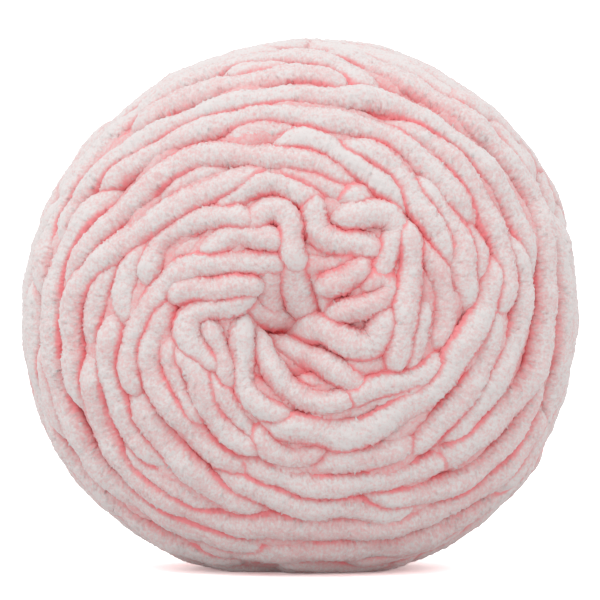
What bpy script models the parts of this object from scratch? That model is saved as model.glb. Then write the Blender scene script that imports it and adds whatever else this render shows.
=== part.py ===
"""Ball of chunky chenille yarn, standing on its rim.

One closed solid: the wound form with its main turns raised on it. The winding axis is Y, the
rosette where the ball was started faces -Y, and the small flat foot lies on z = 0.
Sizes in the tables are millimetres.
"""
import math
from collections import namedtuple

import bmesh
import bpy
import numpy as np

MM = 0.001

# Wound form
HALF_DEPTH = 47.5         # from the middle of the ball to either face, along the winding axis
SQUARENESS = 2.3          # 2 is an ellipse, more has a flatter face and a fuller shoulder
FOOT_DROP = 60.5          # from the middle of the ball down to the flat foot
PIT_DEPTH = 7.0           # dimple in the middle of each face, where the yarn end came from
PIT_RADIUS = 9.0
PIT_X = -3.0
PIT_Z = -2.0
ROSETTE_RISE = 2.2        # the face pattern sits this much above the middle of the ball

# Yarn
YARN_WIDTH = 6.0          # centre to centre of two turns that lie side by side
CREST_DROP = 2.3          # a turn's rounded back falls this far at its edges
GROOVE_DEPTH = 2.9        # deepest groove between turns, below the wound form
END_DROP = 3.5            # a turn's ends dip this far under the turns that cross them
END_SHARE = 0.12          # share of its length over which an end dips
TURN_STEPS = 28           # points along one turn

# Turns round the rim, in sectors that lean one way and then the other
SIDE_SECTORS = 6
SIDE_LEAN = 14.0          # degrees from the rim line
SIDE_HALF_WIDTH = 17.0    # the rim turns lie within this distance of the middle plane
SIDE_OVERRUN = 4.0        # how far a rim turn runs past its sector

# The back face has the same turns, seen from behind and turned round the axis
BACK_TWIST = 155.0

# Mesh
MERIDIANS = 52
PARALLELS = 108
BLEND_ANGLES = (-2.4, 0.0, 2.4)   # heights are averaged over these turns of the clock, in degrees

Lobe = namedtuple("Lobe", "clock radius")
OUTLINE = (
    Lobe(0, 64.2),
    Lobe(45, 63.8),
    Lobe(90, 61.3),
    Lobe(135, 61.5),
    Lobe(180, 64.6),
    Lobe(225, 65.6),
    Lobe(270, 65.6),
    Lobe(315, 65.6),
)

# One row for each turn that shows on the face: where it comes up, the point it passes over half
# way, where it goes down again (x and height from the middle), and how proud it lies.
Turn = namedtuple("Turn", "start over end lift")
ROSETTE = (
    Turn((-11, 19), (-4, 23), (-1.5, 10.5), 0.6),
    Turn((3, 24), (4, 16), (17, 13.5), 0.4),
    Turn((7, 20.5), (20.5, 20.5), (18.8, 8), 0.6),
    Turn((8, 25.3), (12, 25.3), (16.5, 24), -0.8),
    Turn((0.5, 9), (5, 9.3), (11, 11.5), -1.2),
    Turn((2, 3), (8.5, 5.6), (15, 9), 0.5),
    Turn((-7.5, 6), (-5.8, 1), (-4.3, -4), -2.5),
    Turn((-0.8, 9), (-0.4, 3), (1, -3), -2.0),
    Turn((6.5, -2.2), (20, 1.2), (15, 5), 0.5),
    Turn((-0.5, -5), (9.5, -8), (19.5, -3), 1.2),
    Turn((-4, -7.8), (4, -12.3), (14, -19.5), 0.0),
    Turn((-7.5, -6), (-4.5, -16), (10, -21), 0.3),
    Turn((-11.5, -2), (-13.5, -15), (-4.5, -25), 0.2),
    Turn((-21, -4.8), (-17.7, -9.5), (-16.5, -17), -0.5),
    Turn((-11, 1), (-26.5, -2), (-20, -13.5), 0.2),
    Turn((-29, 3), (-20, 3.8), (-9.5, 3.5), 0.2),
    Turn((-4, 9.3), (-20, 10), (-31.8, 5), 0.0),
    Turn((-22, 12.5), (-14, 16.8), (-5, 15.2), 0.3),
    Turn((-29, 12.5), (-25, 14), (-20, 15.3), -2.2),
    Turn((-35.8, 8), (-29, 18.3), (-11.5, 19.5), 0.2),
    Turn((-19, 23), (-7, 29.5), (3.5, 24.3), 0.0),
    Turn((-4, 31.5), (3, 29), (12, 25.5), -0.4),
    Turn((24.6, 17), (25, 3), (22, -12.5), 0.9),
    Turn((28.6, -1), (27.4, -6), (25.3, -14), -0.4),
    Turn((27, 14.5), (33.8, 4), (32, -8), -0.4),
    Turn((11, -21), (20, -17.8), (32, -12), 0.1),
    Turn((-22, -13.5), (-17, -22.5), (-8.5, -32.5), -0.4),
    Turn((-27.5, -10.5), (-21.6, -21.5), (-11, -32), 0.4),
    Turn((-9.5, -29), (-5.5, -34.3), (4, -33.5), -0.2),
)
COURSES = (
    Turn((-8, 30.5), (-32, 21.8), (-48, 9.3), 0.5),
    Turn((-48, 9.3), (-54.5, -6), (-51.8, -22), 0.3),
    Turn((-54.2, 6), (-43, 21.8), (-27.5, 34), 0.0),
    Turn((-27.5, 34), (-10, 36), (8, 30.8), 0.4),
    Turn((-45.5, 26.5), (-56, 12), (-58.8, -6), 0.0),
    Turn((-58.8, -6), (-54, -28), (-40, -44.8), 0.0),
    Turn((-40, -44.8), (-24, -53), (-5, -57.5), 0.0),
    Turn((-47, 28.5), (-30, 39.3), (-8, 45.3), 0.0),
    Turn((-8, 45.3), (17, 42), (39.5, 20.5), 0.0),
    Turn((-54, 23), (-34, 42), (-10, 49.2), 0.0),
    Turn((-10, 49.2), (14, 50), (34.5, 41), 0.0),
    Turn((34.5, 41), (47, 28), (54.5, 10), 0.0),
    Turn((-39, 43.3), (-18, 53.5), (10.5, 52.5), 0.0),
    Turn((-60, 13), (-46, 39.5), (-22.5, 55), 0.2),
    Turn((-22.5, 55), (-2, 59.5), (17, 51.5), 0.2),
    Turn((7, 60), (33, 49.5), (50.5, 33), 0.2),
    Turn((50.5, 33), (58.8, 10), (54.8, -14.5), 0.2),
    Turn((54.8, -14.5), (47, -25.5), (32, -36), 0.1),
    Turn((-4.5, 38), (11, 35), (24, 23.5), 0.0),
    Turn((9.5, 37), (25, 28.5), (35.3, 10.5), 0.3),
    Turn((28.3, 29.5), (37, 15), (40, 0.5), 0.0),
    Turn((21.5, 43), (40.5, 28.5), (46.2, 0), 0.0),
    Turn((38.3, 18), (41.3, 12), (41.8, 6), -0.8),
    Turn((45.5, 10), (40, -5), (30.5, -19), 0.7),
    Turn((30.5, -19), (15, -29), (-5, -27.8), 0.5),
    Turn((49.5, 15.5), (51.5, -4), (34.5, -31), 0.0),
    Turn((46.3, -1), (41, -15.5), (26.5, -33.5), 0.0),
    Turn((-18, 39.8), (-9, 42), (1.5, 40.5), -0.8),
    Turn((-34, 24.5), (-27, 30), (-18, 32.5), -0.8),
    Turn((27.5, -31), (16, -34.8), (4, -37), 0.1),
    Turn((-14, -36), (6, -42.5), (34.5, -34.5), 0.0),
    Turn((-20.5, -37.8), (0, -46.8), (27, -46), 0.0),
    Turn((57.5, -20), (43, -38), (17, -43.8), 0.0),
    Turn((-49, -11.5), (-47, -28), (-33.5, -43.5), 0.1),
    Turn((-33.5, -43.5), (-10, -52.5), (20.5, -51), 0.0),
    Turn((20.5, -51), (44, -42), (58, -23.5), 0.0),
    Turn((-38.5, -20.5), (-28, -35.5), (-10, -47), 0.1),
    Turn((-43, -1), (-44.5, -18), (-33, -36), 0.0),
    Turn((-42.5, -31.5), (-32, -40.5), (-17.5, -48), -0.6),
    Turn((-31, 3), (-35.5, -14), (-24.5, -29.5), 0.0),
    Turn((-31.8, 5), (-39.3, -6), (-38.8, -18.5), 0.0),
    Turn((-30.3, -9), (-28.3, -17.5), (-24.3, -25.5), -0.3),
    Turn((-24.5, -29.5), (-18.5, -34.5), (-12.5, -37.5), 0.0),
    Turn((-43.5, 11), (-48, 1), (-49, -10.5), -0.3),
    Turn((-36.5, 14.5), (-41.3, 5), (-39.8, -4.5), -0.5),
    Turn((60.5, 22), (62.6, -2), (57, -30), 0.2),
    Turn((57, -30), (45, -46.5), (22, -56.5), 0.2),
    Turn((-62.3, 8), (-62, -18), (-47.5, -43.5), 0.2),
)


def outline_radius(clock):
    """Distance from the winding axis to the rim at a clock angle in degrees."""
    radii = np.array([lobe.radius for lobe in OUTLINE], dtype=float)
    count = len(radii)
    place = (np.asarray(clock, dtype=float) % 360.0) * count / 360.0
    first = np.floor(place).astype(int)
    part = place - first
    before = radii[(first - 1) % count]
    here = radii[first % count]
    there = radii[(first + 1) % count]
    after = radii[(first + 2) % count]
    slope_here = (there - before) / 2
    slope_there = (after - here) / 2
    rise = there - here
    return (here + part * slope_here + part**2 * (3 * rise - 2 * slope_here - slope_there)
            + part**3 * (slope_here + slope_there - 2 * rise))


def clock_of(x, z):
    return np.degrees(np.arctan2(z, x))


def pit(x, z):
    """Depth of the dimple at a place on either face."""
    away = (x - PIT_X) ** 2 + (z - PIT_Z) ** 2
    return PIT_DEPTH * np.exp(-away / PIT_RADIUS**2)


def face_points(x, height, side):
    """Places on the wound form under the face position x, height; side is -1 front, +1 back."""
    spread = (x**2 + height**2) / OUTLINE[0].radius**2
    z = height + ROSETTE_RISE * (1 - spread)
    share = np.minimum(np.hypot(x, z) / outline_radius(clock_of(x, z)), 0.995)
    depth = HALF_DEPTH * (1 - share**SQUARENESS) ** (1 / SQUARENESS)
    return np.column_stack((x, side * (depth - pit(x, z)), z))


def rim_points(clock, y):
    """Places on the wound form at a clock angle and a distance from the middle plane."""
    share = (1 - np.abs(y / HALF_DEPTH) ** SQUARENESS) ** (1 / SQUARENESS)
    radius = outline_radius(clock) * share
    turn = np.radians(clock)
    return np.column_stack((radius * np.cos(turn), y, radius * np.sin(turn)))


def lift_along(lift, steps):
    """Height of a turn over the wound form, with both its ends dipping."""
    share = np.linspace(0, 1, steps)
    nearest_end = np.minimum(share, 1 - share) / END_SHARE
    dip = np.clip(1 - nearest_end, 0, 1) ** 2
    return lift - END_DROP * dip


def face_turn(turn, side):
    """Centre line of one turn on a face, as places on the form and heights over it."""
    share = np.linspace(0, 1, TURN_STEPS)[:, None]
    start, over, end = (np.array(point, dtype=float) for point in turn[:3])
    bend = 2 * start - 4 * over + 2 * end
    route = start + share * (end - start - bend) + share**2 * bend
    if side > 0:
        twist = math.radians(BACK_TWIST)
        spin = np.array(((math.cos(twist), math.sin(twist)), (-math.sin(twist), math.cos(twist))))
        route = route @ spin
    return face_points(route[:, 0], route[:, 1], side), lift_along(turn.lift, TURN_STEPS)


def side_turns():
    """Centre lines of the leaning turns round the rim."""
    sector_angle = 360 / SIDE_SECTORS
    mean_radius = sum(lobe.radius for lobe in OUTLINE) / len(OUTLINE)
    half_run = math.radians(sector_angle) * mean_radius / 2 + SIDE_OVERRUN
    rise = math.tan(math.radians(SIDE_LEAN))
    spacing = YARN_WIDTH / math.cos(math.radians(SIDE_LEAN))
    reach = SIDE_HALF_WIDTH + rise * half_run
    rows = int(2 * reach / spacing) + 1
    lines = []
    for sector in range(SIDE_SECTORS):
        lean = rise if sector % 2 else -rise
        for row in range(rows):
            middle = (row - (rows - 1) / 2) * spacing
            run = np.linspace(-half_run, half_run, 2 * TURN_STEPS)
            y = middle + lean * run
            kept = np.abs(y) < SIDE_HALF_WIDTH
            if kept.sum() < 4:
                continue
            clock = (sector + 0.5) * sector_angle + np.degrees(run[kept] / mean_radius)
            lines.append((rim_points(clock, y[kept]), lift_along(0.0, int(kept.sum()))))
    return lines


def all_turns():
    """Every raised turn: its places on the form and its heights over it, in two long arrays."""
    lines = side_turns()
    for side in (-1, 1):
        for turn in ROSETTE + COURSES:
            lines.append(face_turn(turn, side))
    places = np.concatenate([line[0] for line in lines])
    lifts = np.concatenate([line[1] for line in lines])
    return places, lifts


def on_wound_form(directions):
    """Where rays from the middle of the ball meet the wound form, with the outward normals."""
    across = np.hypot(directions[:, 0], directions[:, 2])
    rim = outline_radius(clock_of(directions[:, 0], directions[:, 2]))
    size = (across / rim) ** SQUARENESS + (np.abs(directions[:, 1]) / HALF_DEPTH) ** SQUARENESS
    places = directions * (size ** (-1 / SQUARENESS))[:, None]
    radius = np.maximum(np.hypot(places[:, 0], places[:, 2]), 1e-6)
    outward = radius ** (SQUARENESS - 1) / rim**SQUARENESS
    along = np.abs(places[:, 1]) ** (SQUARENESS - 1) / HALF_DEPTH**SQUARENESS
    normals = np.column_stack((
        outward * places[:, 0] / radius,
        along * np.sign(places[:, 1]),
        outward * places[:, 2] / radius,
    ))
    normals /= np.linalg.norm(normals, axis=1)[:, None]
    places[:, 1] -= np.sign(places[:, 1]) * pit(places[:, 0], places[:, 2])
    return places, normals


def raised_by_turns(places):
    """Height of the yarn's surface over each place on the wound form."""
    turn_places, turn_lifts = all_turns()
    heights = np.full(len(places), -GROOVE_DEPTH)
    for index, place in enumerate(places):
        away = np.sum((turn_places - place) ** 2, axis=1)
        backs = turn_lifts - CREST_DROP * away / (YARN_WIDTH / 2) ** 2
        heights[index] = max(heights[index], backs.max())
    return heights


def turned_about_axis(directions, angle):
    """Directions turned about the winding axis by an angle in degrees."""
    cos, sin = math.cos(math.radians(angle)), math.sin(math.radians(angle))
    x, y, z = directions.T
    return np.column_stack((cos * x - sin * z, y, sin * x + cos * z))


def blended_heights(directions):
    """Heights averaged a little way round the clock, so that the ridges run on smoothly."""
    rings = [on_wound_form(turned_about_axis(directions, angle))[0] for angle in BLEND_ANGLES]
    return np.mean([raised_by_turns(ring) for ring in rings], axis=0)


def make_yarn_ball():
    """Sphere primitive, shaped to the wound form with its turns, and pressed flat at the foot."""
    mesh = bmesh.new()
    sphere = bmesh.ops.create_uvsphere(mesh, u_segments=MERIDIANS, v_segments=PARALLELS, radius=1)
    directions = np.array([(v.co.x, -v.co.z, v.co.y) for v in sphere["verts"]])
    places, normals = on_wound_form(directions)
    places += normals * blended_heights(directions)[:, None]
    places[:, 2] = np.maximum(places[:, 2] + FOOT_DROP, 0.0)
    for axis in (0, 1):
        places[:, axis] -= (places[:, axis].min() + places[:, axis].max()) / 2
    for vertex, place in zip(sphere["verts"], places):
        vertex.co = place * MM
    bmesh.ops.triangulate(mesh, faces=mesh.faces)
    bmesh.ops.recalc_face_normals(mesh, faces=mesh.faces)
    data = bpy.data.meshes.new("yarn_ball")
    mesh.to_mesh(data)
    mesh.free()
    data.shade_smooth()
    return bpy.data.objects.new("yarn_ball", data)


def chenille_material():
    """Soft pale pink chenille, quite matt."""
    material = bpy.data.materials.new("chenille")
    material.use_nodes = True
    surface = material.node_tree.nodes["Principled BSDF"]
    surface.inputs["Base Color"].default_value = (0.72, 0.52, 0.52, 1.0)
    surface.inputs["Roughness"].default_value = 0.95
    surface.inputs["Metallic"].default_value = 0.0
    return material


def main():
    for old in list(bpy.data.objects):
        bpy.data.objects.remove(old, do_unlink=True)
    parts = bpy.data.collections.new("chenille_yarn_ball")
    bpy.context.scene.collection.children.link(parts)
    ball = make_yarn_ball()
    ball.data.materials.append(chenille_material())
    parts.objects.link(ball)


main()
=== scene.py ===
"""Ball of chunky chenille yarn, standing on its rim with the rosette end towards the camera.

Every turn of yarn is a tufted tube laid over the same wound form as the solid. Turns press
against each other, dive under the turns that cross them, and show coral pile down in the gaps,
partly the yarn's own colour and partly painted shade.
Sizes are millimetres and angles degrees, and places are measured from the middle of the ball.
"""

import math
from collections import namedtuple

import bpy
import numpy as np
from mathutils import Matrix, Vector
from mathutils.kdtree import KDTree


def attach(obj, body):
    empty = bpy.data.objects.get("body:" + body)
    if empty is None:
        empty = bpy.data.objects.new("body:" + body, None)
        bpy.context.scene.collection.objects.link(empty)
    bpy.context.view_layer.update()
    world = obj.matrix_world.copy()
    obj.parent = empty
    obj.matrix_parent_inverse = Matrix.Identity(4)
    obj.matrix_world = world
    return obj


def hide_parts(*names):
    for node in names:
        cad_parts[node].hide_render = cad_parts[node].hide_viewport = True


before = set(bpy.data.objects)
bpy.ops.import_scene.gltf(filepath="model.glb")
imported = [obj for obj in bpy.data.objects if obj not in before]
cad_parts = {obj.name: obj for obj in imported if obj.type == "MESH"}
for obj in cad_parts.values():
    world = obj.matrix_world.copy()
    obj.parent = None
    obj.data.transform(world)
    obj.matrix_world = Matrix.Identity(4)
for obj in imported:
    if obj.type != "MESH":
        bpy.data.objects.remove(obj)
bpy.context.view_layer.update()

MM = 0.001
SEED = 7

# Wound form, as in the solid
HALF_DEPTH = 47.5
SQUARENESS = 2.3
FOOT_DROP = 60.5          # the floor is this far under the middle
PIT_DEPTH = 7.0
PIT_RADIUS = 9.0
PIT_X = -3.0
PIT_Z = -2.0
ROSETTE_RISE = 2.2        # turns near the middle of a face lie this much higher than their rows say
BACK_TWIST = 155.0        # the back's turns are the front's, turned this far round the axis
RIM_SHARE = 0.99          # no face turn lies further out than this share of the rim

# Yarn
PILE_REACH = 3.5          # from the core of the yarn to the tips of the pile, sideways
PILE_HEIGHT = 3.0         # the same, away from the ball
PILE_ROUNDING = 1.8       # 2 gives the yarn an oval section, and less gives it sloping shoulders
LEAST_REACH = 0.4         # pile that is pressed hardest still stands this far from the core
LOOSE_REACH = 0.3         # pile on the flanks stands out this much further where it has room
LOOSE_FROM = 30.0         # and does so between these angles from straight out
LOOSE_FULL = 95.0
OUTER_ANGLE = 112.0       # the side of the yarn that can show, either way from straight out
BEND_ROOM = 0.92          # pile inside a bend stops at this share of the way to its middle
LEAST_SPREAD = 0.1        # tufts inside a bend shrink no further than to this share
CREST_INSET = 0.6         # the smooth crest lies this far under the form, and tufts stand up to it
CREST_WAVES = ((31.0, 0.35), (17.0, 0.28), (9.0, 0.10))     # its rise and fall: length and height
PLUMP_CHANGE = 0.16       # how much a turn's thickness comes and goes
PLUMP_LENGTH = 3.0        # over this length
PLUMP_POINTS = 4.0        # and this many points round the yarn
POINTS_PER_MM = 4         # on a turn's line, before its rings are spaced out along it
SPARE_POINTS = 8
FEWEST_RINGS = 6

# Ends of a turn
TUCK_LENGTH = 4.0         # a turn runs on this far under its neighbour
SHORT_TUCK = 2.5          # and in the rosette this far
COURSE_DIVE = 11.0        # length over which a turn's end goes down
SHORT_DIVE = 4.5          # the same in the rosette
SIDE_DIVE = 8.0           # and round the rim
DIVE_DEPTH = 5.5
END_SLIMMING = 0.2        # share of its width that a turn loses where it dives

# Turns that press on each other, and on the floor
PRESS_REACH = 7.4         # turns this near press against each other
PRESS_STEP = 1.4          # the neighbours feel a turn at points this far apart
PRESS_POWER = 10          # a higher power gives a sharper edge where the press begins
PRESS_OVERLAP = 0.9       # fibres reach this far past the halfway line to the next turn
SAME_TURN_GAP = 12.0      # a turn presses on itself only this far along or further
FAR_OFF = 9.0             # stands for the distance to the next turn where there is none near
FOOT_CORE = 1.7           # the core of the yarn stays this far above the floor
FOOT_REACH = 15.0         # and is not raised where it runs this much higher than that
FOOT_SOFTNESS = 8.0       # how gradually the turns lift off the floor round the flat spot

# How pink the pile is goes by how deep it lies: pale tips as the yarn has them, and painted shade
# down on low turns, diving ends, flanks and where turns meet, with painted light paling the outer
# turns; these are in millimetres of depth or shares of it
TIP_DEPTH = 0.5           # the tips are as pale as the crest down to here
LOW_TURN_SHADE = 0.3       # painted shade: a turn that lies low is pinker, by this share of how low it lies
DIVE_SHADE = 0.5           # painted shade: a turn's end is pinker by this share of how far it has gone down
TURN_TINT = 0.25          # some turns are a little pinker than others
LOOSE_SHADE = 1.3          # painted shade: loose pile on the flanks is pinker
WALL_SHADE = 3.4           # and so is pile pressed against the next turn, painted shade where they meet
WALL_WIDTH = 1.0          # up to this far from where they meet
WALL_FADE = 1.5           # a higher power keeps it closer to where they meet
SHADE_SPREAD = 0.45        # the painted shade of the flanks comes and goes by this share
LEAST_SHADE = 0.1          # and stay between these shares
MOST_SHADE = 2.0
PATCH_LENGTH = 3.5        # a patch of them is about this long
PATCH_POINTS = 2.0        # and this many points wide round the yarn
FUZZ_TIPS_AND_SHADE = 2.2           # tips of tufts are paler, as the yarn's tips are, and the pile between them pinker, painted shade
PALE_FROM = 0.92          # painted rim light: turns further out than this share of the rim are paler
PALE_BOTTOM = -60.0       # from nothing at this height
PALE_TOP = 10.0           # to the full from this height up
RIM_LIGHT_IN_GAPS = 0.5          # in their gaps, by this share
RIM_LIGHT_WASH = 0.6          # and all over, by this depth

# Tufts: their size along and round the yarn, and how far they stand out
Tuft = namedtuple("Tuft", "along around")
TIPS = Tuft(0.12, 0.35)
FIBRES = Tuft(0.13, 0.45)
CLUMPS = Tuft(0.5, 0.5)
TIP_HEIGHT = 0.05         # on the crest
FIBRE_HEIGHT = 0.09       # on the flanks
CLUMP_HEIGHT = 0.06       # everywhere
FUZZ_HEIGHT = 0.07        # on the crest
FUZZ_ON_FLANK = 0.05      # and this much more on the flanks
STRAY_FROM = 1.3          # the longest fibres, from this many spreads up, stick out by themselves
STRAY_HEIGHT = 0.04
STRAY_ON_FLANK = 0.44
TUFT_SLIP = 0.06          # tufts lean along the yarn by about this much

# Turns round the rim
SIDE_LEAN = 14.0          # away from straight round
SIDE_HALF_WIDTH = 23.0    # they reach this far to either side of the middle
SIDE_PLUMPNESS = 1.05
SIDE_LIVELINESS = 0.4     # they rise, fall and vary less
SIDE_SHORTEST = 24        # pieces of a turn with no more points than this are left out
SIDE_POINTS_PER_MM = 1.5
SIDE_CLEARANCE = 3.3      # they stop this far from the turns of the faces
SIDE_SWAY = ((1.3, 5, 0), (0.7, 13, 50))    # how far, how many times round, and from which angle
SIDE_JITTER = 0.3         # each lies off its even place by about this much
YARN_WIDTH = 5.7          # from one to the next
CROSSINGS = (25.0, 80.0, 148.0, 205.0, 262.0, 322.0)    # clock angles of those that cross them,
CROSSING_STEEPNESS = 1.7  # leaning the other way, this many times as steeply
CROSSING_LIFT = 0.6

# Turns one layer down, and the plain core
INNER_PITCH = 5.6         # from one ring to the next
INNER_FROM = 3.4          # radius of the first ring on a face
INNER_TO = 60.0
INNER_X = -1.5            # middle of these rings
INNER_HEIGHT = -1.0
INNER_LIFT = -1.8
INNER_SINK = 1.2          # the rings near the middle lie lower by up to this much
INNER_SINK_RADIUS = 16.0
INNER_SWEEP = 0.985       # share of a whole ring that is laid, so its ends don't quite meet
INNER_START = 2.4         # each ring starts this many radians on from the last
INNER_POINTS_PER_MM = 8   # of radius
INNER_SPARE_POINTS = 24
INNER_SHADE = 1.2          # painted shade: pile down here is pinker by this much
GIRTH_HALF_WIDTH = 17.0   # rings round the rim, this far to either side of the middle
GIRTH_LIFT = -2.4
GIRTH_SWEEP = 356.0       # angle of a whole turn that is laid
GIRTH_START = 40.0        # a ring starts this far round for each millimetre from the middle
GIRTH_POINTS = 700
CORE_INSET = 7.5          # from the form to the core
CORE_CLEARANCE = 3.0      # from the floor to the core
CORE_SEGMENTS = 64
CORE_RINGS = 40
CORE_SHADE = 6.0           # painted shade: depth that its colour goes by, the deepest coral of the gaps

# How finely the pile is made: distance between rings, and points on a ring where it shows and
# where it does not
Fineness = namedtuple("Fineness", "step outer under")
CLOSE_UP = Fineness(0.37, 23, 3)
PLAIN = Fineness(0.45, 14, 3)
SIDE = Fineness(0.5, 13, 3)
SHOWN_BELOW = Fineness(0.7, 12, 3)
HIDDEN = Fineness(1.8, 8, 3)

# Radius of the rim at each clock angle
Lobe = namedtuple("Lobe", "clock radius")
OUTLINE = (
    Lobe(0, 64.2),
    Lobe(45, 63.8),
    Lobe(90, 61.3),
    Lobe(135, 61.5),
    Lobe(180, 64.6),
    Lobe(225, 65.6),
    Lobe(270, 65.6),
    Lobe(315, 65.6),
)

# One row for each turn of yarn that shows on the face: how proud it lies, how plump it is, and
# the places it passes over (x and height).
Turn = namedtuple("Turn", "lift plump route")
ROSETTE = (
    Turn(0.5, 0.85, ((-11, 18.5), (-9, 21.6), (-5.5, 22.3), (-2.9, 19.8), (-2.6, 15.5), (-1.2, 10))),
    Turn(0.4, 0.85, ((3, 24.5), (3.2, 20), (3.9, 16.8), (8, 14.8), (13, 14.6), (17.5, 13))),
    Turn(0.5, 0.85, ((10, 20.5), (13, 20.9), (17, 21.8), (20.8, 20.8), (22.2, 17.8),
                    (20.5, 13.5), (18.5, 7.5))),
    Turn(0.4, 0.9, ((10.5, 25.3), (12.3, 25.6), (14.5, 25))),
    Turn(-1.5, 0.85, ((0.5, 9), (5, 9.3), (12, 12))),
    Turn(0.8, 0.85, ((5.2, 3.6), (7, 4.6), (9.8, 6), (14.5, 9))),
    Turn(-1.2, 1.0, ((-6.8, 9), (-6.4, 5), (-6.0, 1.5), (-5.2, -2.2))),
    Turn(-0.9, 1.2, ((-1.8, 9), (-1.7, 5), (-1.3, 1), (-0.3, -3.0))),
    Turn(0.5, 0.85, ((6.8, -2.2), (10.5, -1.0), (15, 0), (18.6, 1.8), (20, 4.3),
                    (18.3, 6.3), (16, 5.2))),
    Turn(0.7, 1.0, ((0, -5.4), (4, -5.2), (9, -7.6), (13.5, -9.1), (17, -8),
                     (18.8, -4.8), (19.8, -1.5))),
    Turn(0.0, 0.8, ((-3.8, -7.6), (-0.2, -9.6), (4.5, -12.1), (8.5, -15), (15, -20))),
    Turn(0.3, 0.78, ((-7.8, -7.2), (-7, -10.5), (-5.3, -14.5), (-2.4, -19), (2, -21.4), (11, -20.7))),
    Turn(0.2, 0.76, ((-12, -4.5), (-12.5, -7), (-12.5, -10), (-13.3, -15), (-12.5, -19.5),
                    (-9, -23), (-4, -25))),
    Turn(-0.5, 0.78, ((-21, -4.8), (-19.4, -8.5), (-17, -18))),
    Turn(0.0, 0.85, ((-11, 1), (-16, 0.3), (-21.5, 0), (-25.5, -2.3), (-26.3, -6.5),
                    (-23.8, -10.5), (-20, -13.5))),
    Turn(0.3, 0.85, ((-29, 3), (-25.5, 4.3), (-20, 3.6), (-14.5, 4.2), (-9.5, 3.5))),
    Turn(0.0, 0.85, ((-4, 9.3), (-10, 9.5), (-17, 10), (-23, 9.8), (-28, 8), (-31.8, 5),
                    (-34.5, 1), (-37.3, -3.5), (-39.6, -8), (-40.2, -13), (-38.8, -18.5))),
    Turn(0.3, 0.85, ((-22, 12.5), (-18.5, 15), (-14.5, 16.8), (-10, 16.3), (-5, 15.2))),
    Turn(0.2, 0.85, ((-35.8, 8), (-34.5, 12), (-32, 16), (-27.5, 19), (-22.5, 20.8),
                    (-17, 21.2), (-11.5, 19.5))),
    Turn(-1.8, 0.85, ((-29, 12.5), (-25, 14.5), (-20, 16.5))),
    Turn(0.0, 0.85, ((-19, 23), (-14.5, 26.3), (-9.5, 29), (-5, 29), (-0.5, 26.8), (3.5, 24.3))),
    Turn(-0.5, 0.85, ((-4, 31.5), (4.5, 28.6), (12, 25.5))),
    Turn(1.0, 0.85, ((24.6, 17), (25.4, 12.5), (25.2, 7), (24, 1), (22.7, -9), (22, -12.5))),
    Turn(-0.5, 0.85, ((28.6, -1), (27.4, -5.5), (25.3, -14))),
    Turn(-0.5, 0.85, ((27, 14.5), (30.3, 10.8), (32.8, 6.5), (34, 1.5), (33.7, -3.5), (32, -8))),
    Turn(0.1, 0.85, ((11, -20.8), (15, -19), (19.5, -17.8), (24.5, -17), (29, -15), (32, -12))),
    Turn(-0.8, 0.85, ((12, -25), (20, -21.3), (27.5, -18))),
    Turn(-0.5, 0.85, ((-22, -13.5), (-17, -22.5), (-8.5, -32.5))),
    Turn(0.4, 0.85, ((-27.5, -10.5), (-24.8, -13.8), (-21.3, -22.5), (-18.8, -26.8),
                    (-15.5, -30.2), (-11, -32))),
    Turn(-0.3, 0.85, ((-30.3, -9), (-29.8, -13.5), (-28.3, -17.5), (-24.3, -25.5))),
    Turn(-0.3, 0.85, ((-9.5, -29), (-8.3, -32), (-5, -34.3), (0, -34.8), (4, -33.5))),
    Turn(-2.5, 0.85, ((18.5, -30), (22.5, -28), (26, -25.5))),
    Turn(-2.0, 1.0, ((-12, 1.5), (-9, -1.6), (-4.2, -3.6))),
    Turn(-1.6, 0.9, ((10, -12.8), (15, -13.8), (21, -13))),
    Turn(-2.0, 0.9, ((0.5, -16.5), (4, -17.2), (8, -18.5))),
    Turn(-2.0, 0.9, ((2.6, 5), (4.2, 1), (4.8, -3.5))),
)
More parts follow.
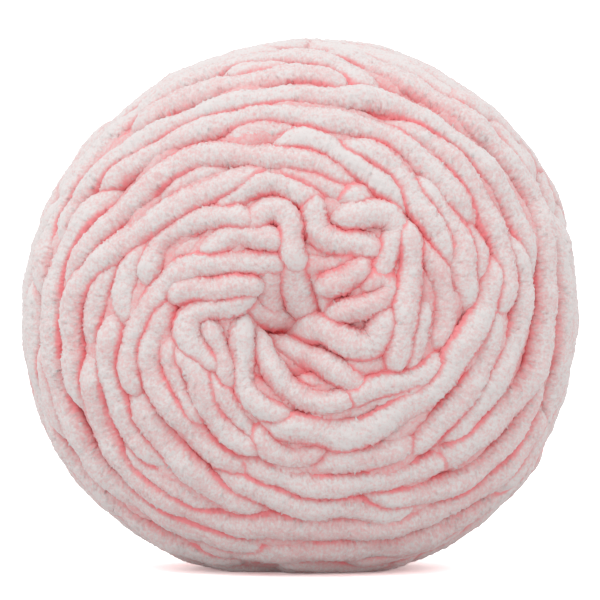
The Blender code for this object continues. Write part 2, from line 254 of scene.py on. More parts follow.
INNER_COURSES = (
    Turn(0.5, 0.93, ((-8, 30.5), (-14, 29.5), (-20, 27.3), (-27, 24), (-38.5, 17), (-48, 9.3),
                    (-51.5, 5.5), (-53.6, 0.5), (-54, -6), (-53.2, -17), (-51.8, -22))),
    Turn(0.2, 0.93, ((-54.2, 6), (-52, 11.5), (-48.8, 16), (-41, 23.5), (-32.5, 31), (-27.5, 34),
                    (-22, 35.7), (-15, 35.8), (-2, 34.2), (3.5, 33), (11, 28.8))),
    Turn(0.0, 0.93, ((-4.5, 38), (-0.5, 39.5), (4.5, 38.6), (9, 35.8), (17, 30.3), (21, 27.3),
                    (24, 23.5))),
    Turn(0.3, 0.93, ((9.5, 37), (14, 36.9), (18.5, 34.9), (22.5, 31.3), (28, 22.5), (33.2, 14.5),
                    (35.3, 10.5))),
    Turn(-1.0, 0.93, ((-18, 39.8), (-13, 41.3), (-3, 41.8), (1.5, 40.5))),
    Turn(-1.0, 0.93, ((-34, 24.5), (-26.5, 30), (-18, 32.5))),
    Turn(0.0, 0.93, ((-47, 28.5), (-36.5, 35.8), (-25, 41.3), (-13.5, 44.7), (-3, 45.6), (3, 44.2),
                    (15, 42.2), (20.5, 40.3), (30, 33), (37, 24.5), (39.5, 20.5))),
    Turn(0.0, 0.93, ((28.3, 29.5), (33.5, 21.3), (36.3, 17.3), (37.6, 12.5), (37.9, 8),
                    (40, 0.5))),
    Turn(-0.7, 1.1, ((38.6, 20), (41.2, 14.5), (42.0, 6))),
    Turn(0.8, 1.02, ((45.5, 10), (44.6, 5.5), (41.5, -2.5), (36, -10.8), (33.8, -15),
                     (30.5, -19), (22, -24), (14, -28.5), (10, -29.8), (5, -29), (0, -27.8),
                     (-8, -27.3))),
    Turn(0.0, 0.93, ((46.3, -1), (43.7, -10), (38.8, -19), (32, -27), (26.5, -33.5))),
    Turn(0.1, 0.93, ((27.5, -31), (18.5, -34), (8, -35.8), (4, -37))),
    Turn(0.0, 0.93, ((-14, -36), (-4.5, -39.7), (1, -41.2), (13, -40.7), (25, -38.8),
                    (34.5, -34.5))),
    Turn(0.0, 0.93, ((-20.5, -37.8), (-11.5, -41.7), (-1, -45.8), (10.5, -46.8), (21.5, -48.2),
                    (27, -46))),
    Turn(0.1, 1.02, ((-38.5, -20.5), (-34, -28.3), (-27, -36.5), (-18.3, -43.2), (-10, -47))),
    Turn(0.0, 0.93, ((-43, -1), (-44.8, -11), (-43.3, -20), (-39.5, -29.5), (-33, -36))),
    Turn(0.0, 0.93, ((-31, 3), (-32.5, -2), (-34.3, -7), (-35.3, -12), (-33.8, -17), (-28, -25.2),
                    (-20.5, -33.2), (-12.5, -37.5))),
    Turn(-0.3, 0.93, ((-43.5, 11), (-47.5, 3), (-49, -10.5))),
    Turn(-0.6, 0.93, ((-36.5, 14.5), (-40.8, 7), (-41.3, 2.5), (-39.8, -4.5))),
    Turn(-1.5, 0.93, ((-35.8, 9), (-36.8, 4.5), (-37.5, 0))),
)
OUTER_COURSES = (
    Turn(0.0, 0.93, ((-57, 17.5), (-52, 27), (-42.5, 36), (-31, 43), (-17.5, 47.5), (-3, 50),
                    (11, 49.8), (17, 49.3), (29, 44.6), (39.5, 37), (48, 26.5), (53, 15.5),
                    (54.5, 10))),
    Turn(0.0, 1.1, ((-40, 42.8), (-28.5, 49), (-12, 54), (-4, 55), (7, 54), (10.5, 52.5))),
    Turn(0.2, 1.15, ((-62, 3), (-60.8, 11.5), (-57, 22.5), (-47, 38.3), (-31.5, 50.5),
                     (-13, 57.8), (-4, 58.9), (3, 58.5), (9, 56.8), (17, 51.5))),
    Turn(0.2, 1.15, ((7, 60), (14, 58.2), (30, 50.7), (44.5, 40), (55.5, 25), (58, 11),
                     (57.7, -3), (54.8, -14.5), (48.8, -23), (41, -29.8), (32, -36))),
    Turn(0.2, 1.3, ((60.5, 22), (62, 12), (62.2, -6), (59.4, -21), (52.3, -36), (47, -43))),
    Turn(0.0, 0.93, ((21.5, 43), (27, 40.8), (32.5, 37.3), (37, 32.8), (43.2, 23), (47.3, 13),
                    (47.9, 8), (46.2, 0))),
    Turn(0.0, 0.93, ((49.5, 15.5), (51.8, 10.5), (52.5, 5), (51.2, -5), (46.5, -14.5),
                    (40.8, -23.5), (34.5, -31))),
    Turn(0.0, 0.93, ((56.5, -19), (50.7, -29.7), (41.5, -38.4), (29, -43.2), (22.5, -44.3),
                    (17, -43.8))),
    Turn(0.1, 1.05, ((-49, -11.5), (-48.5, -21.5), (-45.3, -31.5), (-38.3, -40), (-28, -46.5),
                     (-14.5, -50.8), (-7.5, -50.9), (6.5, -52), (20.5, -51), (33.5, -47),
                     (46, -39.6), (55, -29.5), (58, -23.5))),
    Turn(-0.8, 0.93, ((-42.5, -31.5), (-39.5, -35.5), (-31, -40.8), (-21.5, -46.8),
                     (-17.5, -48))),
    Turn(0.0, 1.15, ((-45.5, 26.5), (-53, 17.5), (-57.8, 7), (-58.8, -6), (-57.8, -18),
                     (-53.3, -29), (-45.5, -40.3), (-33.5, -48.3), (-19.5, -54), (-5, -58))),
    Turn(0.2, 1.2, ((-62.3, 8), (-62.8, -8), (-60, -24), (-53, -37), (-41, -49), (-28, -56.5),
                     (-14, -60.5))),
    Turn(0.2, 1.2, ((60, -24), (52.3, -38.5), (38.5, -50), (22, -56.3), (4, -57.3),
                    (-14, -57.5), (-22, -57))),
)


def outline_radius(clock):
    """Distance from the winding axis to the rim at a clock angle."""
    radii = np.array([lobe.radius for lobe in OUTLINE], dtype=float)
    count = len(radii)
    place = (np.asarray(clock, dtype=float) % 360.0) * count / 360.0
    first = np.floor(place).astype(int)
    part = place - first
    before = radii[(first - 1) % count]
    here = radii[first % count]
    there = radii[(first + 1) % count]
    after = radii[(first + 2) % count]
    slope_here = (there - before) / 2
    slope_there = (after - here) / 2
    rise = there - here
    return (here + part * slope_here + part**2 * (3 * rise - 2 * slope_here - slope_there)
            + part**3 * (slope_here + slope_there - 2 * rise))


def clock_of(x, z):
    return np.degrees(np.arctan2(z, x))


def unit(vectors):
    return vectors / np.maximum(np.linalg.norm(vectors, axis=-1, keepdims=True), 1e-9)


def sideways_middle():
    """How far the middle of the form's width lies from its winding axis."""
    clock = np.arange(0, 360, 0.5)
    reach = outline_radius(clock) * np.cos(np.radians(clock))
    return (reach.min() + reach.max()) / 2


def form_normals(places):
    """Outward normals of the wound form, before the pits are pressed in."""
    radius = np.maximum(np.hypot(places[:, 0], places[:, 2]), 1e-6)
    rim = outline_radius(clock_of(places[:, 0], places[:, 2]))
    outward = radius ** (SQUARENESS - 1) / rim**SQUARENESS
    along = np.abs(places[:, 1]) ** (SQUARENESS - 1) / HALF_DEPTH**SQUARENESS
    return unit(np.column_stack((
        outward * places[:, 0] / radius,
        along * np.sign(places[:, 1]),
        outward * places[:, 2] / radius,
    )))


def press_pits(places, normals):
    """Moves places on the form down into the pits, and tilts their normals to match."""
    x = places[:, 0] - PIT_X
    z = places[:, 2] - PIT_Z
    depth = PIT_DEPTH * np.exp(-(x**2 + z**2) / PIT_RADIUS**2)
    facing = np.abs(normals[:, 1])
    slope = -2 * depth / PIT_RADIUS**2 * facing
    pressed = places.copy()
    pressed[:, 1] -= np.sign(places[:, 1]) * depth
    tilted = normals + np.column_stack((slope * x, np.zeros(len(x)), slope * z))
    return pressed, unit(tilted)


def on_face(flat, side):
    """Places and normals on the form under face positions; side is -1 front, +1 back."""
    x, height = flat[:, 0], flat[:, 1]
    spread = (x**2 + height**2) / OUTLINE[0].radius**2
    z = height + ROSETTE_RISE * (1 - spread)
    clock = clock_of(x, z)
    share = np.minimum(np.hypot(x, z) / outline_radius(clock), RIM_SHARE)
    if side > 0:
        clock = clock + BACK_TWIST
    radius = share * outline_radius(clock)
    depth = HALF_DEPTH * (1 - share**SQUARENESS) ** (1 / SQUARENESS)
    turn = np.radians(clock)
    places = np.column_stack((radius * np.cos(turn), side * depth, radius * np.sin(turn)))
    return press_pits(places, form_normals(places))


def on_rim(clock, y):
    """Places and normals on the form at a clock angle and a distance from the middle plane."""
    share = (1 - np.abs(y / HALF_DEPTH) ** SQUARENESS) ** (1 / SQUARENESS)
    radius = outline_radius(clock) * share
    turn = np.radians(clock)
    places = np.column_stack((radius * np.cos(turn), y, radius * np.sin(turn)))
    return places, form_normals(places)


def smooth_curve(route):
    """Closely spaced places on a smooth curve through a route's own points."""
    points = np.array(route, dtype=float)
    stations = np.concatenate(([0.0], np.cumsum(np.linalg.norm(np.diff(points, axis=0), axis=1))))
    slopes = np.gradient(points, stations, axis=0, edge_order=2)
    fine = np.linspace(0, stations[-1], int(stations[-1] * POINTS_PER_MM) + SPARE_POINTS)
    leg = np.clip(np.searchsorted(stations, fine, side="right") - 1, 0, len(points) - 2)
    length = (stations[leg + 1] - stations[leg])[:, None]
    part = (fine - stations[leg])[:, None] / length
    return ((2 * part**3 - 3 * part**2 + 1) * points[leg]
            + (part**3 - 2 * part**2 + part) * length * slopes[leg]
            + (3 * part**2 - 2 * part**3) * points[leg + 1]
            + (part**3 - part**2) * length * slopes[leg + 1])


def run_on(curve, length):
    """The curve made longer at both ends, straight on."""
    steps = np.linspace(1 / POINTS_PER_MM, length, int(length * POINTS_PER_MM))[:, None]
    before = curve[0] - unit(curve[POINTS_PER_MM] - curve[0]) * steps[::-1]
    after = curve[-1] + unit(curve[-1] - curve[-1 - POINTS_PER_MM]) * steps
    return np.concatenate((before, curve, after))


def even_steps(places, normals, step):
    """The same line with its points a set distance apart, and the distance along it."""
    along = np.concatenate(([0.0], np.cumsum(np.linalg.norm(np.diff(places, axis=0), axis=1))))
    count = max(int(along[-1] / step), FEWEST_RINGS)
    wanted = np.linspace(0, along[-1], count)
    placed = np.column_stack([np.interp(wanted, along, places[:, axis]) for axis in range(3)])
    facing = np.column_stack([np.interp(wanted, along, normals[:, axis]) for axis in range(3)])
    return placed, unit(facing), wanted


class Strand:
    """One turn of yarn: its line on the form, and where its core runs."""

    def __init__(self, places, normals, lift, plump, random, fineness, dive=COURSE_DIVE,
                 liveliness=1.0):
        self.places, self.normals, self.along = even_steps(places, normals, fineness.step)
        self.fineness = fineness
        self.lift = lift
        self.liveliness = liveliness
        self.dive = self.dive_share(dive)
        self.plump = plump * (1 - END_SLIMMING * self.dive)
        self.heights = lift + liveliness * self.wander(random) - DIVE_DEPTH * self.dive
        self.core = self.places + self.normals * (self.heights - CREST_INSET - PILE_HEIGHT)[:, None]
        self.keep_above_floor()

    def dive_share(self, reach):
        """0 where the turn lies on top, rising to 1 at both its ends."""
        length = self.along[-1]
        nearest_end = np.minimum(self.along, length - self.along)
        return np.clip(1 - nearest_end / min(reach, length / 2), 0, 1) ** 2

    def wander(self, random):
        """Slow rise and fall of the crest along the turn."""
        height = np.zeros(len(self.along))
        for wave, size in CREST_WAVES:
            height += size * np.sin(2 * math.pi * (self.along / wave + random.random()))
        return height

    def keep_above_floor(self):
        """Presses the core up where the turn runs under the ball."""
        height = self.core[:, 2] + FOOT_DROP - FOOT_CORE
        lift = (np.sqrt(height**2 + FOOT_SOFTNESS) - height) / 2
        self.core[:, 2] += lift * (height < FOOT_REACH)

    def axes(self):
        """Directions along the yarn, away from the ball, and sideways."""
        ahead = unit(np.gradient(self.core, axis=0))
        outward = unit(self.normals - ahead * np.sum(self.normals * ahead, axis=1)[:, None])
        return ahead, outward, np.cross(ahead, outward)

    def rim_share(self):
        """How far out from the winding axis the turn lies, as a share of the rim's radius."""
        x, z = self.places[:, 0], self.places[:, 2]
        return np.hypot(x, z) / outline_radius(clock_of(x, z))


def face_strands(turns, side, random, fineness, tuck=TUCK_LENGTH, dive=COURSE_DIVE):
    """The turns of one face; the back's are the same ones turned round the axis."""
    strands = []
    for turn in turns:
        flat = run_on(smooth_curve(turn.route), tuck)
        strands.append(Strand(*on_face(flat, side), turn.lift, turn.plump, random,
                              fineness, dive))
    return strands


def clear_runs(places, others, clearance):
    """Index ranges of the places that stay clear of the others."""
    clear = np.array([others.find(Vector(place))[2] > clearance for place in places])
    edges = np.flatnonzero(np.diff(np.concatenate(([0], clear.astype(int), [0]))))
    return list(zip(edges[0::2], edges[1::2]))


def side_strands(faces, random):
    """Long leaning turns round the rim, from one face's outermost turns to the other's, and a few
    that cross over them."""
    laid = KDTree(sum(len(strand.core) for strand in faces))
    for strand in faces:
        for place in strand.places:
            laid.insert(Vector(place), 0)
    laid.balance()
    mean_radius = sum(lobe.radius for lobe in OUTLINE) / len(OUTLINE)
    rise = math.tan(math.radians(SIDE_LEAN))
    around = YARN_WIDTH / math.sin(math.radians(SIDE_LEAN))
    starts = round(2 * math.pi * mean_radius / around)
    laps = [(360 * start / starts, rise, 0.0) for start in range(starts)]
    laps += [(clock, -CROSSING_STEEPNESS * rise, CROSSING_LIFT) for clock in CROSSINGS]
    strands = []
    for clock, slope, lift in laps:
        half_run = SIDE_HALF_WIDTH / abs(slope)
        run = np.linspace(-half_run, half_run, int(2 * half_run * SIDE_POINTS_PER_MM))
        clocks = clock + np.degrees(run / mean_radius)
        sway = sum(reach * np.sin(np.radians(times * clocks + start))
                   for reach, times, start in SIDE_SWAY)
        places, normals = on_rim(clocks, slope * run + sway + SIDE_JITTER * random.normal())
        for first, last in clear_runs(places, laid, SIDE_CLEARANCE):
            if last - first > SIDE_SHORTEST:
                strands.append(Strand(places[first:last], normals[first:last], lift,
                                      SIDE_PLUMPNESS, random, SIDE, SIDE_DIVE, SIDE_LIVELINESS))
    return strands


class Neighbours:
    """Finds the turns that press against a place."""

    def __init__(self, strands):
        self.points = []
        self.owners = []
        for number, strand in enumerate(strands):
            for ring in range(0, len(strand.core), round(PRESS_STEP / strand.fineness.step)):
                self.points.append(strand.core[ring])
                self.owners.append((number, strand.along[ring]))
        self.tree = KDTree(len(self.points))
        for index, point in enumerate(self.points):
            self.tree.insert(Vector(point), index)
        self.tree.balance()
        self.points = np.array(self.points)

    def around(self, place, number, along):
        """Vectors from a place on a turn to the cores of the turns around it."""
        near = []
        for _, index, _ in self.tree.find_range(Vector(place), PRESS_REACH):
            owner, station = self.owners[index]
            if owner != number or abs(station - along) > SAME_TURN_GAP:
                near.append(index)
        return self.points[near] - place if near else np.zeros((0, 3))


def blurred_noise(random, rows, columns, along, around):
    """Random bumps of a set size, the same all the way round, with a spread of 1."""
    spectrum = np.fft.fft2(random.normal(size=(rows, columns)))
    down = np.fft.fftfreq(rows)[:, None] * along
    across = np.fft.fftfreq(columns)[None, :] * around
    spectrum *= np.exp(-2 * math.pi**2 * (down**2 + across**2))
    bumps = np.real(np.fft.ifft2(spectrum))
    return bumps / bumps.std()


def ring_angles(fineness):
    """Angles round the yarn, from straight out, closer together on the side that shows."""
    outer = np.linspace(-OUTER_ANGLE, OUTER_ANGLE, fineness.outer)
    under = np.linspace(OUTER_ANGLE, 360 - OUTER_ANGLE, fineness.under + 2)[1:-1]
    return np.radians(np.concatenate((outer, under)))


def fuzz_relief(random, angles, rows, fineness):
    """Tufts over the yarn's smooth surface: tips on the crest, and fibres seen from the side
    down the flanks."""
    points = len(angles)
    rings_per_mm = 1 / fineness.step
    points_per_mm = fineness.outer / (2 * math.radians(OUTER_ANGLE) * PILE_HEIGHT)
    tips, fibres, clumps = (
        blurred_noise(random, rows, points, tuft.along * rings_per_mm, tuft.around * points_per_mm)
        for tuft in (TIPS, FIBRES, CLUMPS))
    stray = np.maximum(random.normal(size=(rows, points)) - STRAY_FROM, 0)
    fuzz = random.normal(size=(rows, points))
    flank = np.sin(angles) ** 2
    return (TIP_HEIGHT * tips * (1 - flank) + FIBRE_HEIGHT * fibres * flank + CLUMP_HEIGHT * clumps
            + (FUZZ_HEIGHT + FUZZ_ON_FLANK * flank) * fuzz
            + (STRAY_HEIGHT + STRAY_ON_FLANK * flank) * stray)


def looseness(angles):
    """0 on the crest of the yarn, rising to 1 down its flanks."""
    from_crest = np.degrees(np.arccos(np.cos(angles)))
    loose = np.clip((from_crest - LOOSE_FROM) / (LOOSE_FULL - LOOSE_FROM), 0, 1)
    return loose**2 * (3 - 2 * loose)


def free_radii(strand, angles, loose):
    """How far the pile stands from the core, ring by ring, with nothing against it."""
    reach = PILE_REACH * strand.plump[:, None] + LOOSE_REACH * loose
    return (np.abs(np.sin(angles) / reach) ** PILE_ROUNDING
            + np.abs(np.cos(angles) / PILE_HEIGHT) ** PILE_ROUNDING) ** (-1 / PILE_ROUNDING)


def pressed_radii(free, bend, rays, near):
    """How far the pile stands from the core once the yarn's own bends and the turns near each
    ring have pressed it in."""
    squeeze = np.maximum(bend / BEND_ROOM, 0)
    for ring, vectors in enumerate(near):
        if len(vectors):
            distance = np.linalg.norm(vectors, axis=1)
            room = distance * (distance / 2 + PRESS_OVERLAP)
            push = (rays[ring] @ (vectors / room[:, None]).T).max(axis=1)
            squeeze[ring] = np.maximum(squeeze[ring], push)
    return (free**-PRESS_POWER + squeeze**PRESS_POWER) ** (-1 / PRESS_POWER)


def wall_distances(radii, rays, near):
    """How far each point is from where its turn meets the next one."""
    walls = np.full(radii.shape, FAR_OFF)
    for ring, vectors in enumerate(near):
        if len(vectors):
            distance = np.linalg.norm(vectors, axis=1)
            toward = rays[ring] @ (vectors / distance[:, None]).T
            walls[ring] = np.min(distance / 2 - radii[ring][:, None] * toward, axis=1)
    return walls


def pile_depths_and_shade(strand, crest, loose, walls, fuzz, random):
    """How deep each point lies among the turns, which sets how pink it is, with painted shade added
    on low turns, diving ends, flanks and where turns meet, and painted light paling the outer turns;
    crest is how far it stands out from the core, away from the ball."""
    # Pile lower than its crest is pinker: partly the yarn's own colour, partly painted shade
    depth = strand.lift + PILE_HEIGHT - strand.heights[:, None] - crest
    # Painted shade: a turn that lies low is pinker
    depth = np.maximum(depth - TIP_DEPTH, 0) + LOW_TURN_SHADE * max(-strand.lift, 0.0)
    depth += TURN_TINT * random.normal()
    # Painted shade: a turn's end is pinker as it goes down under its neighbours
    depth -= (1 - DIVE_SHADE) * DIVE_DEPTH * strand.dive[:, None]
    # Painted shade on the flanks and where turns meet, in patches
    patches = blurred_noise(random, *depth.shape, PATCH_LENGTH / strand.fineness.step,
                            PATCH_POINTS)
    flank_shade = LOOSE_SHADE * loose + WALL_SHADE * np.clip(1 - walls / WALL_WIDTH, 0, 1) ** WALL_FADE
    depth += flank_shade * np.clip(1 + SHADE_SPREAD * patches, LEAST_SHADE, MOST_SHADE)
    # Tips of tufts are paler, as the yarn's are, with painted shade between them
    depth -= FUZZ_TIPS_AND_SHADE * fuzz
    # Painted light: turns near the rim are paler, more so higher up where the light falls
    height = np.clip((strand.places[:, 2] - PALE_BOTTOM) / (PALE_TOP - PALE_BOTTOM), 0, 1)
    rim_light = np.clip((strand.rim_share() - PALE_FROM) / (1 - PALE_FROM), 0, 1) * height
    depth *= 1 - RIM_LIGHT_IN_GAPS * rim_light[:, None]
    depth -= RIM_LIGHT_WASH * rim_light[:, None]
    return depth


def pile_surface(strand, number, neighbours, random):
    """Surface points of one turn, ring by ring, and how deep each lies among the turns."""
    ahead, outward, sideways = strand.axes()
    angles = ring_angles(strand.fineness)
    cos, sin = np.cos(angles), np.sin(angles)
    rays = outward[:, None, :] * cos[None, :, None] + sideways[:, None, :] * sin[None, :, None]
    bend = np.einsum("rpk,rk->rp", rays, np.gradient(ahead, axis=0) / strand.fineness.step)
    near = [neighbours.around(place, number, along)
            for place, along in zip(strand.core, strand.along)]
    loose = looseness(angles)
    radii = pressed_radii(free_radii(strand, angles, loose), bend, rays, near)
    walls = wall_distances(radii, rays, near)
    rows, points = radii.shape
    fuzz = fuzz_relief(random, angles, rows, strand.fineness)
    fuzz *= np.clip(1 - radii * bend, LEAST_SPREAD, 1)
    fuzz *= (1 + strand.liveliness) / 2
    plumpness = blurred_noise(random, rows, points, PLUMP_LENGTH / strand.fineness.step,
                              PLUMP_POINTS)
    plumpness *= PLUMP_CHANGE * strand.liveliness
    depth = pile_depths_and_shade(strand, radii * cos, loose, walls, fuzz, random)
    radii = np.maximum(radii + fuzz + plumpness, LEAST_REACH)
    surface = strand.core[:, None, :] + rays * radii[:, :, None]
    surface += ahead[:, None, :] * random.normal(scale=TUFT_SLIP, size=radii.shape)[:, :, None]
    return surface, depth, angles


def yarn_map_corners(strand, angles):
    """Corners of a turn's faces on its map: distance along the yarn, and distance round it."""
    rows, points = len(strand.along) - 1, len(angles)
    round_it = np.concatenate((angles, [2 * math.pi + angles[0]])) * PILE_REACH
    left = np.broadcast_to(round_it[:-1], (rows, points))
    right = np.broadcast_to(round_it[1:], (rows, points))
    low = np.broadcast_to(strand.along[:-1, None], (rows, points))
    high = np.broadcast_to(strand.along[1:, None], (rows, points))
    corners = ((low, left), (low, right), (high, right), (high, left))
    return np.stack([np.stack(corner, -1) for corner in corners], axis=2).reshape(-1, 2)


def tube_mesh(name, strands, numbers, neighbours, random, extra_shade_depth=0.0):
    """One mesh of many tufted turns, with their depth and painted shade, and a map that follows the
    yarn.
    """
    vertices, depths, faces, maps = [], [], [], []
    count = 0
    for strand, number in zip(strands, numbers):
        surface, depth, angles = pile_surface(strand, number, neighbours, random)
        rows, points = depth.shape
        grid = count + np.arange(rows * points).reshape(rows, points)
        right = np.roll(grid, -1, axis=1)
        vertices.append(surface.reshape(-1, 3))
        depths.append(depth.ravel())
        faces.append(np.stack((grid[:-1], right[:-1], right[1:], grid[1:]), -1).reshape(-1, 4))
        maps.append(yarn_map_corners(strand, angles))
        count += rows * points
        # Each end is closed by a fan round a point in its middle
        for end, ring in ((0, grid[0][::-1]), (rows - 1, grid[-1])):
            vertices.append(surface[end].mean(axis=0)[None, :])
            depths.append(np.array([depth[end].max()]))
            hub = np.full(points, count)
            faces.append(np.stack((ring, np.roll(ring, -1), hub), axis=-1))
            maps.append(np.zeros((points * 3, 2)) + strand.along[end])
            count += 1
    return finished_mesh(name, vertices, depths, faces, maps, extra_shade_depth)


def finished_mesh(name, vertices, depths, faces, maps, extra_shade_depth):
    """Blender mesh from blocks of points and faces, stood on the floor."""
    places = np.concatenate(vertices)
    places[:, 2] = np.maximum(places[:, 2] + FOOT_DROP, 0.0)
    places[:, 0] -= sideways_middle()
    corners = np.concatenate([block.ravel() for block in faces])
    sizes = np.concatenate([np.full(len(block), block.shape[1]) for block in faces])
    mesh = bpy.data.meshes.new(name)
    mesh.vertices.add(len(places))
    mesh.vertices.foreach_set("co", (places * MM).ravel().astype(np.float32))
    mesh.loops.add(len(corners))
    mesh.loops.foreach_set("vertex_index", corners.astype(np.int32))
    mesh.polygons.add(len(sizes))
    mesh.polygons.foreach_set("loop_start", (np.cumsum(sizes) - sizes).astype(np.int32))
    yarn_map = mesh.uv_layers.new(name="along_the_yarn")
    yarn_map.data.foreach_set("uv", np.concatenate(maps).ravel().astype(np.float32))
    # Depth in the pile with painted shade and painted rim light, which picks the pile's colour
    deep = mesh.attributes.new("pile_depth_and_shade", "FLOAT", "POINT")
    deep.data.foreach_set("value", (np.concatenate(depths) + extra_shade_depth).astype(np.float32))
    mesh.update()
    mesh.validate()
    mesh.shade_smooth()
    piece = bpy.data.objects.new(name, mesh)
    bpy.context.scene.collection.objects.link(piece)
    return piece


def inner_strands(random):
    """Plain turns one layer down, which close the gaps between the outer ones."""
    strands = []
    for side, fineness in ((-1, SHOWN_BELOW), (1, HIDDEN)):
        for ring, radius in enumerate(np.arange(INNER_FROM, INNER_TO, INNER_PITCH)):
            lift = INNER_LIFT - INNER_SINK * math.exp(-(radius / INNER_SINK_RADIUS) ** 2)
            points = int(radius * INNER_POINTS_PER_MM) + INNER_SPARE_POINTS
            sweep = np.linspace(0, 2 * math.pi * INNER_SWEEP, points) + INNER_START * ring
            flat = np.column_stack((radius * np.cos(sweep) + INNER_X,
                                    radius * np.sin(sweep) + INNER_HEIGHT))
            strands.append(Strand(*on_face(flat, side), lift, 1.0, random, fineness))
    for y in np.arange(-GIRTH_HALF_WIDTH, GIRTH_HALF_WIDTH + 1, INNER_PITCH):
        clock = np.linspace(0, GIRTH_SWEEP, GIRTH_POINTS) + GIRTH_START * y
        strands.append(Strand(*on_rim(clock, np.full(len(clock), y)), GIRTH_LIFT, 1.0, random,
                              HIDDEN))
    return strands


def core_ball():
    """Sphere shaped to the form, far enough down to sit under every turn."""
    bpy.ops.object.select_all(action="DESELECT")
    bpy.ops.mesh.primitive_uv_sphere_add(segments=CORE_SEGMENTS, ring_count=CORE_RINGS, radius=1)
    piece = bpy.context.object
    piece.name = "wound_core"
    mesh = piece.data
    mesh.name = "wound_core"
    count = len(mesh.vertices)
    flat = np.zeros(count * 3)
    mesh.vertices.foreach_get("co", flat)
    # The sphere's poles go to the winding axis
    directions = flat.reshape(-1, 3)[:, (0, 2, 1)] * (1, -1, 1)
    across = np.hypot(directions[:, 0], directions[:, 2])
    rim = outline_radius(clock_of(directions[:, 0], directions[:, 2]))
    size = (across / rim) ** SQUARENESS + (np.abs(directions[:, 1]) / HALF_DEPTH) ** SQUARENESS
    places = directions * (size ** (-1 / SQUARENESS))[:, None]
    places, normals = press_pits(places, form_normals(places))
    places -= normals * CORE_INSET
    places[:, 2] = np.maximum(places[:, 2] + FOOT_DROP, CORE_CLEARANCE)
    places[:, 0] -= sideways_middle()
    mesh.vertices.foreach_set("co", (places * MM).ravel())
    # Painted shade: the core takes the deepest coral of the gaps
    deep = mesh.attributes.new("pile_depth_and_shade", "FLOAT", "POINT")
    deep.data.foreach_set("value", np.full(count, CORE_SHADE, dtype=np.float32))
    mesh.update()
    bpy.ops.object.shade_smooth()
    return piece


# Colours of the pile, from its pale tips to the coral gaps, whose coral is partly painted shade,
# by the share of the way from PALEST to PINKEST
PILE_COLOURS = (
    (0.00, (0.775, 0.727, 0.72)),
    (0.14, (0.78, 0.632, 0.625)),
    (0.32, (0.79, 0.532, 0.53)),
    (0.56, (0.835, 0.40, 0.407)),
    (0.90, (0.92, 0.31, 0.33)),
)
PALEST = 5.0              # these are depths with all the patterns added to them
PINKEST = 11.4

# How much each pattern adds to the depth, and how fine it is
STRETCH_TINT = 2.4        # some stretches of the yarn are paler and some duskier
STRETCH_FINENESS = 120.0
FIBRE_TINT = 3.0
FIBRE_STREAKS = (2.2, 1.2, 1.0)     # fibres lie across the yarn, so their streaks are short along it
TUFT_TINT = 6.0
TUFT_FINENESS = 1200.0
TUFT_ROUGHNESS = 0.65
GRAIN_FINENESS = 2600.0
FIBRE_RELIEF = 0.5        # what the fibres add to the grain of the surface
RELIEF_STRENGTH = 0.45
RELIEF_HEIGHT = 0.3


def node(tree, kind, **settings):
    made = tree.nodes.new(kind)
    for name, value in settings.items():
        setattr(made, name, value)
    return made


def pattern(tree, places, fineness, detail, **settings):
    """Cloudy pattern laid out by the places that are fed to it."""
    made = node(tree, "ShaderNodeTexNoise", **settings)
    made.inputs["Scale"].default_value = fineness
    made.inputs["Detail"].default_value = detail
    tree.links.new(places, made.inputs["Vector"])
    return made


def add_some(tree, value, amount, base):
    """A set amount of one value added to another."""
    made = node(tree, "ShaderNodeMath", operation="MULTIPLY_ADD")
    made.inputs[1].default_value = amount
    tree.links.new(value, made.inputs[0])
    tree.links.new(base, made.inputs[2])
    return made.outputs["Value"]


def pile_colours(tree, share):
    """The pile's colours, picked by a share from 0 to 1."""
    colours = node(tree, "ShaderNodeValToRGB")
    ramp = colours.color_ramp
    for stop, (place, colour) in zip(ramp.elements, (PILE_COLOURS[0], PILE_COLOURS[-1])):
        stop.position = place
        stop.color = (*colour, 1.0)
    for place, colour in PILE_COLOURS[1:-1]:
        ramp.elements.new(place).color = (*colour, 1.0)
    tree.links.new(share, colours.inputs["Fac"])
    return colours.outputs["Color"]


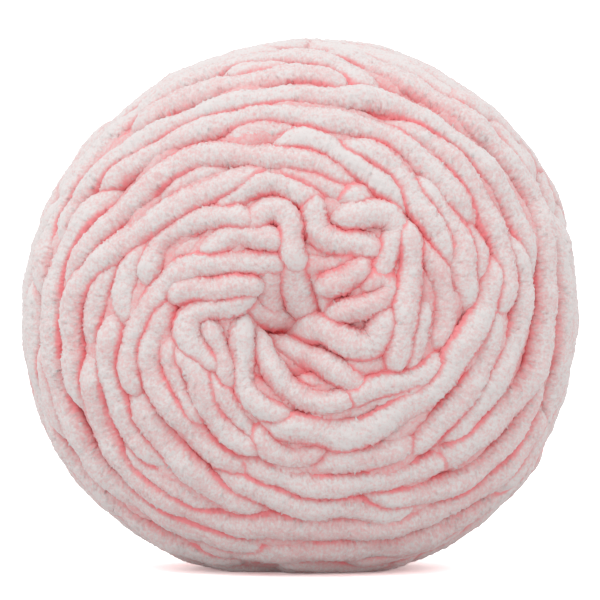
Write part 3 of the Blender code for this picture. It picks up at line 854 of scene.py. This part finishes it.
def chenille_pile():
    """Matt pink pile: pale tips on the crests, coral where the turns meet, which is partly painted
    shade.
    """
    material = bpy.data.materials.new("chenille_pile")
    material.use_nodes = True
    tree = material.node_tree
    link = tree.links.new
    surface = tree.nodes["Principled BSDF"]
    surface.inputs["Roughness"].default_value = 0.95
    surface.inputs["Specular IOR Level"].default_value = 0.0
    surface.inputs["Sheen Weight"].default_value = 0.2
    surface.inputs["Sheen Roughness"].default_value = 0.5

    places = node(tree, "ShaderNodeTexCoord").outputs["Object"]
    yarn_map = node(tree, "ShaderNodeUVMap", uv_map="along_the_yarn").outputs["UV"]
    depth = node(tree, "ShaderNodeAttribute", attribute_name="pile_depth_and_shade").outputs["Fac"]

    streaks = node(tree, "ShaderNodeMapping")
    streaks.inputs["Scale"].default_value = FIBRE_STREAKS
    link(yarn_map, streaks.inputs["Vector"])
    fibres = pattern(tree, streaks.outputs["Vector"], 1.0, detail=3.0, noise_dimensions="2D")
    tufts = pattern(tree, places, TUFT_FINENESS, detail=4.0)
    tufts.inputs["Roughness"].default_value = TUFT_ROUGHNESS
    stretches = pattern(tree, places, STRETCH_FINENESS, detail=2.0)

    # Depth and painted shade in the pile, made uneven and ragged by the patterns
    ragged = add_some(tree, stretches.outputs["Fac"], STRETCH_TINT, depth)
    ragged = add_some(tree, fibres.outputs["Fac"], FIBRE_TINT, ragged)
    ragged = add_some(tree, tufts.outputs["Fac"], TUFT_TINT, ragged)
    share = node(tree, "ShaderNodeMapRange")
    share.inputs["From Min"].default_value = PALEST
    share.inputs["From Max"].default_value = PINKEST
    link(ragged, share.inputs["Value"])
    link(pile_colours(tree, share.outputs["Result"]), surface.inputs["Base Color"])

    grain = pattern(tree, places, GRAIN_FINENESS, detail=2.0)
    relief = add_some(tree, fibres.outputs["Fac"], FIBRE_RELIEF, grain.outputs["Fac"])
    bump = node(tree, "ShaderNodeBump")
    bump.inputs["Strength"].default_value = RELIEF_STRENGTH
    bump.inputs["Distance"].default_value = RELIEF_HEIGHT * MM
    link(relief, bump.inputs["Height"])
    link(bump.outputs["Normal"], surface.inputs["Normal"])
    return material


def lay_the_ball():
    """All the turns, grouped into pieces, with one shared view of who presses on whom."""
    random = np.random.default_rng(SEED)
    groups = {
        "front_rosette": face_strands(ROSETTE, -1, random, CLOSE_UP, SHORT_TUCK, SHORT_DIVE),
        "front_inner_courses": face_strands(INNER_COURSES, -1, random, CLOSE_UP),
        "front_outer_courses": face_strands(OUTER_COURSES, -1, random, CLOSE_UP),
        "back_rosette": face_strands(ROSETTE, 1, random, PLAIN, SHORT_TUCK, SHORT_DIVE),
        "back_courses": face_strands(INNER_COURSES + OUTER_COURSES, 1, random, PLAIN),
    }
    faces = [strand for group in groups.values() for strand in group]
    groups["rim_turns"] = side_strands(faces, random)
    everyone = [strand for group in groups.values() for strand in group]
    neighbours = Neighbours(everyone)
    pieces = []
    first = 0
    for name, strands in groups.items():
        numbers = range(first, first + len(strands))
        pieces.append(tube_mesh(name, strands, numbers, neighbours, random))
        first += len(strands)
    inner = inner_strands(random)
    # Painted shade: turns one layer down are pinker
    pieces.append(tube_mesh("inner_turns", inner, range(len(inner)), Neighbours(inner), random,
                            extra_shade_depth=INNER_SHADE))
    pieces.append(core_ball())
    material = chenille_pile()
    for piece in pieces:
        piece.data.materials.clear()
        piece.data.materials.append(material)
        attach(piece, "root")
        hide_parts("yarn_ball")


# Studio; heights here are from the floor
VIEW_WIDTH = 137.6        # the camera sees this much from side to side at the ball
CAMERA_DISTANCE = 2400.0
CAMERA_ELEVATION = 3.0
AIM_HEIGHT = 61.65
SENSOR = 36.0
FAR_CLIP = 100            # metres
FLOOR_WIDTH = 40          # metres
FLOOR_WHITE = 2.0         # over 1, so that only the shadow at the ball's foot shows on it
FLOOR_GLOW = 0.1
BOUNCE_HEIGHT = -1.0
BOUNCE_GREY = 0.74
SKY_STRENGTH = 1.0
KEY_ENERGY = 0.6
KEY_SPREAD = 40.0
KEY_TURN = (31.0, 0.0, -42.0)
LIGHT_BOUNCES = 32        # between the turns, so that their gaps glow
ALL_BOUNCES = 48


def floor_plane(name, height, white, glow):
    """Wide matt floor; white is how much light it returns and glow what it adds."""
    bpy.ops.object.select_all(action="DESELECT")
    bpy.ops.mesh.primitive_plane_add(size=FLOOR_WIDTH, location=(0, 0, height * MM))
    floor = bpy.context.object
    floor.name = name
    paint = bpy.data.materials.new(name)
    paint.use_nodes = True
    surface = paint.node_tree.nodes["Principled BSDF"]
    surface.inputs["Base Color"].default_value = (white, white, white, 1)
    surface.inputs["Roughness"].default_value = 1.0
    surface.inputs["Specular IOR Level"].default_value = 0.0
    surface.inputs["Emission Color"].default_value = (1, 1, 1, 1)
    surface.inputs["Emission Strength"].default_value = glow
    floor.data.materials.append(paint)
    return floor


def studio_light():
    """Even white sky, and one broad soft light from high up in front, on the left."""
    scene = bpy.context.scene
    sky = bpy.data.worlds.new("studio_sky")
    sky.use_nodes = True
    sky.node_tree.nodes["Background"].inputs["Color"].default_value = (1, 1, 1, 1)
    sky.node_tree.nodes["Background"].inputs["Strength"].default_value = SKY_STRENGTH
    scene.world = sky
    scene.cycles.diffuse_bounces = LIGHT_BOUNCES
    scene.cycles.max_bounces = ALL_BOUNCES

    key = bpy.data.lights.new("key_light", "SUN")
    key.energy = KEY_ENERGY
    key.angle = math.radians(KEY_SPREAD)
    lamp = bpy.data.objects.new("key_light", key)
    lamp.rotation_euler = [math.radians(turn) for turn in KEY_TURN]
    scene.collection.objects.link(lamp)


def studio_camera():
    """Camera far off in front, a little above the ball's middle."""
    scene = bpy.context.scene
    lens = bpy.data.cameras.new("camera")
    lens.sensor_width = SENSOR
    lens.lens = SENSOR * CAMERA_DISTANCE / VIEW_WIDTH
    lens.clip_end = FAR_CLIP
    camera = bpy.data.objects.new("camera", lens)
    tilt = math.radians(CAMERA_ELEVATION)
    camera.location = (0, -CAMERA_DISTANCE * math.cos(tilt) * MM,
                       (AIM_HEIGHT + CAMERA_DISTANCE * math.sin(tilt)) * MM)
    camera.rotation_euler = (math.radians(90) - tilt, 0, 0)
    scene.collection.objects.link(camera)
    scene.camera = camera
    scene.view_settings.view_transform = "Standard"


def studio():
    """A white floor for the camera, a grey one that only returns light to the ball, the light
    and the camera."""
    seen = floor_plane("studio_floor", 0.0, FLOOR_WHITE, FLOOR_GLOW)
    seen.visible_diffuse = False
    seen.visible_glossy = False
    seen.visible_shadow = False
    bounce = floor_plane("bounce_floor", BOUNCE_HEIGHT, BOUNCE_GREY, 0.0)
    bounce.visible_camera = False
    studio_light()
    studio_camera()


lay_the_ball()
studio()
